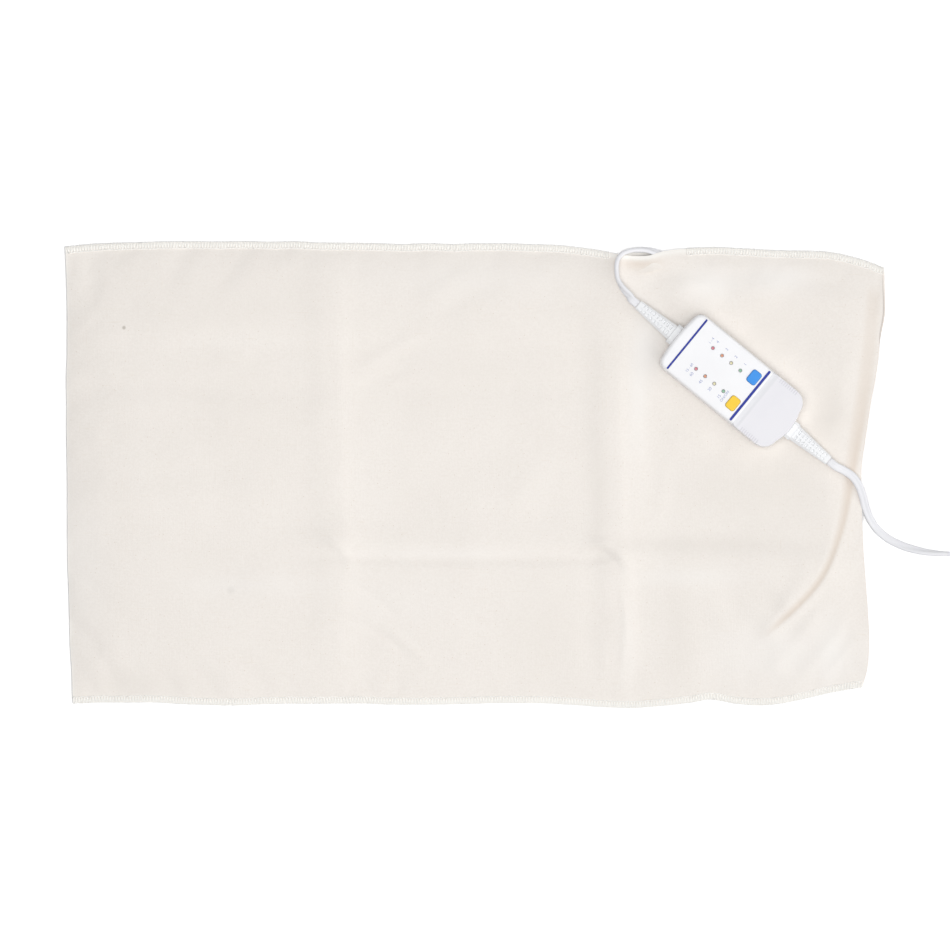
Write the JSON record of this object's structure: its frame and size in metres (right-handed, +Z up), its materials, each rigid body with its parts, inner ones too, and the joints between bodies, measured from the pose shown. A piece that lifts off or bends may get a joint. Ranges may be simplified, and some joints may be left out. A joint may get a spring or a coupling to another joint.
{
  "type": "heating pad with controller",
  "caption": "Flat flannel-covered heating pad, edges overlocked, with a corded hand controller lying on it: face keys, indicator lights, ribbed grip and a mains cord to a plug.",
  "frame": {"origin": "centre of the pad with its controller, on the surface it lies on", "axes": "+X along the pad's length towards its open mouth, +Y towards the long edge that the lead crosses, +Z up"},
  "size_m": [0.8714, 0.451, 0.0349],
  "materials": {
    "flannel": "soft cream cotton flannel",
    "thread": "cream overlock thread",
    "shell": "welded vinyl",
    "felt": "needled felt",
    "wire": "insulated wire",
    "black_plastic": "moulded",
    "cord": "soft white vinyl",
    "brass": "plated blade",
    "case": "white satin",
    "navy": "navy satin",
    "blue_key": "blue satin",
    "yellow_key": "yellow satin",
    "red_lens": "clear red",
    "orange_lens": "clear orange",
    "yellow_lens": "clear yellow",
    "green_lens": "clear green",
    "board": "circuit board",
    "capacitor": "dipped",
    "fuse_glass": "clear",
    "steel": "zinc plated"
  },
  "bodies": {
    "pad": {"flannel_cover": "flannel", "rear_seam_left": "thread", "rear_seam_right": "thread", "front_seam": "thread", "inner_shell_bottom": "shell", "element_carrier": "felt", "heating_wire": "wire", "felt_layer": "felt", "inner_shell_top": "shell", "thermostat_1": "black_plastic", "thermostat_2": "black_plastic", "thermostat_3": "black_plastic", "lead_entry_block": "cord", "lead_cord": "cord", "mains_cord": "cord", "mains_coil": "cord", "plug_body": "cord", "plug_blade_narrow": "brass", "plug_blade_wide": "brass", "controller_top_case": "case", "controller_bottom_case": "case", "face_bar_lead": "navy", "face_bar_mains": "navy", "switch_blue": "black_plastic", "switch_yellow": "black_plastic", "light_blue_side_1": "red_lens", "light_blue_side_2": "orange_lens", "light_blue_side_3": "yellow_lens", "light_blue_side_4": "green_lens", "light_yellow_side_1": "red_lens", "light_yellow_side_2": "orange_lens", "light_yellow_side_3": "yellow_lens", "light_yellow_side_4": "green_lens", "circuit_board": "board", "controller_chip": "black_plastic", "film_capacitor": "capacitor", "power_triac": "black_plastic", "board_fuse": "fuse_glass", "lead_terminals": "black_plastic", "lead_strain_relief": "cord", "mains_terminals": "black_plastic", "mains_strain_relief": "cord", "case_screw_1": "steel", "case_screw_2": "steel"},
    "blue_key": {"button_blue": "blue_key", "plunger_blue": "black_plastic"},
    "yellow_key": {"button_yellow": "yellow_key", "plunger_yellow": "black_plastic"}
  },
  "joints": [
    {"name": "button_blue_press", "type": "slide", "parent": "pad", "child": "blue_key", "axis": [0, 0, -1], "range_m": [0, 0.0006], "stiffness_N_per_m": 1500},
    {"name": "button_yellow_press", "type": "slide", "parent": "pad", "child": "yellow_key", "axis": [0, 0, -1], "range_m": [0, 0.0006], "stiffness_N_per_m": 1500}
  ]
}
